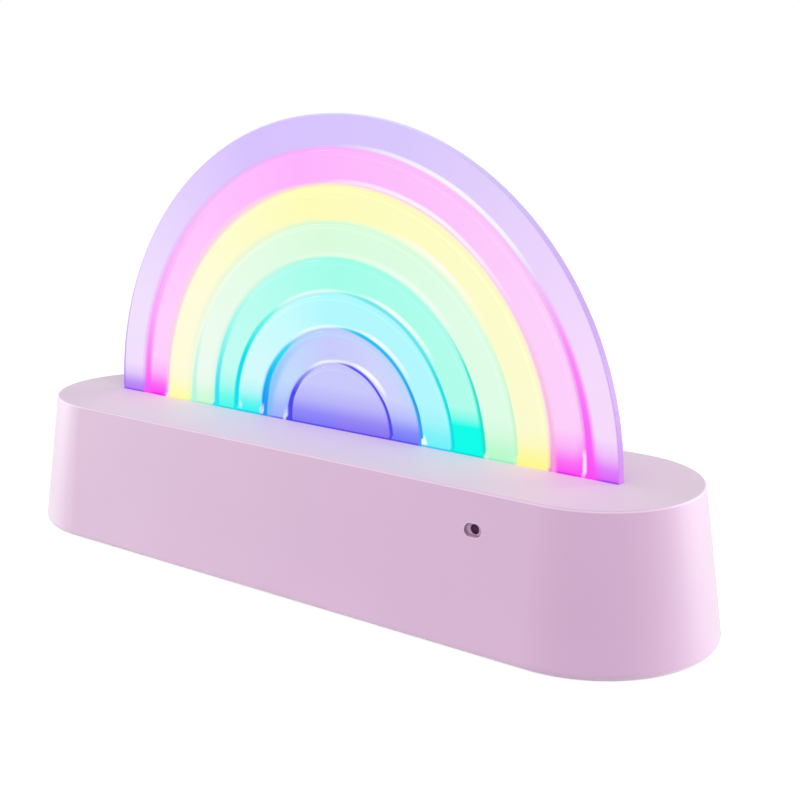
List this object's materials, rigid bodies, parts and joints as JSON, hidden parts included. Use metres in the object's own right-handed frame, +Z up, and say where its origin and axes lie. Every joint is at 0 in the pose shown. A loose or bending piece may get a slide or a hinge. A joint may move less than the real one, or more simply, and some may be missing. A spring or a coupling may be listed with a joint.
{
  "type": "rainbow table lamp",
  "caption": "Half-round glowing panel of nested coloured light-guide arches standing in a slot on a long, low, round-ended battery base with leaning walls.",
  "frame": {"origin": "on the table, under the middle of the base", "axes": "+X along the base, -Y the front with the sensor eye, +Z up"},
  "size_m": [0.2518, 0.0718, 0.1423],
  "materials": {
    "shell": "satin moulded ABS, pale pink-lilac",
    "plate": "satin moulded ABS, pale pink-lilac",
    "knob": "satin moulded ABS",
    "holder": "matt moulded ABS, white",
    "eye": "glossy dark moulded resin",
    "board": "green solder mask on glass-fibre board",
    "chips": "matt moulded epoxy",
    "led": "clear resin in a white package",
    "steel": "zinc-plated steel",
    "contact": "nickel-plated spring steel",
    "can": "tin-plated steel",
    "rubber": "matt rubber",
    "cell": "printed sleeve, bare of words",
    "cable": "PVC flat cable",
    "red_wire": "PVC insulation",
    "dark_wire": "PVC insulation",
    "light_lavender": "frosted acrylic, lit from its feet",
    "light_pink": "frosted acrylic, lit from its feet",
    "light_yellow": "frosted acrylic, lit from its feet",
    "light_green": "frosted acrylic, lit from its feet",
    "light_mint": "frosted acrylic, lit from its feet",
    "light_cyan": "frosted acrylic, lit from its feet",
    "light_periwinkle": "frosted acrylic, lit from its feet",
    "light_indigo": "frosted acrylic, lit from its feet"
  },
  "bodies": {
    "lamp": {"base_shell": "shell", "bottom_plate": "plate", "rubber_feet": "rubber", "housing_screws": "steel", "arch_lavender": "light_lavender", "arch_pink": "light_pink", "arch_yellow": "light_yellow", "arch_green": "light_green", "arch_mint": "light_mint", "arch_cyan": "light_cyan", "arch_periwinkle": "light_periwinkle", "centre_disc": "light_indigo", "light_holder": "holder", "holder_screws": "steel", "led_board": "board", "leds": "led", "led_board_screws": "steel", "control_board": "board", "board_parts": "chips", "control_board_screws": "steel", "sensor_eye": "eye", "sensor_board": "board", "switch_body": "can", "switch_screws": "steel", "battery_cells": "cell", "contact_plates": "contact", "contact_springs": "contact", "led_cable": "cable", "sensor_cable": "cable", "battery_wires": "red_wire", "switch_wires": "dark_wire"},
    "knob": {"switch_knob": "knob"},
    "door": {"battery_door": "plate"}
  },
  "joints": [
    {"name": "switch_slide", "type": "slide", "parent": "lamp", "child": "knob", "axis": [1, 0, 0], "range_m": [-0.003, 0]},
    {"name": "door_slide", "type": "slide", "parent": "lamp", "child": "door", "axis": [1, 0, 0], "range_m": [0, 0.01]}
  ]
}
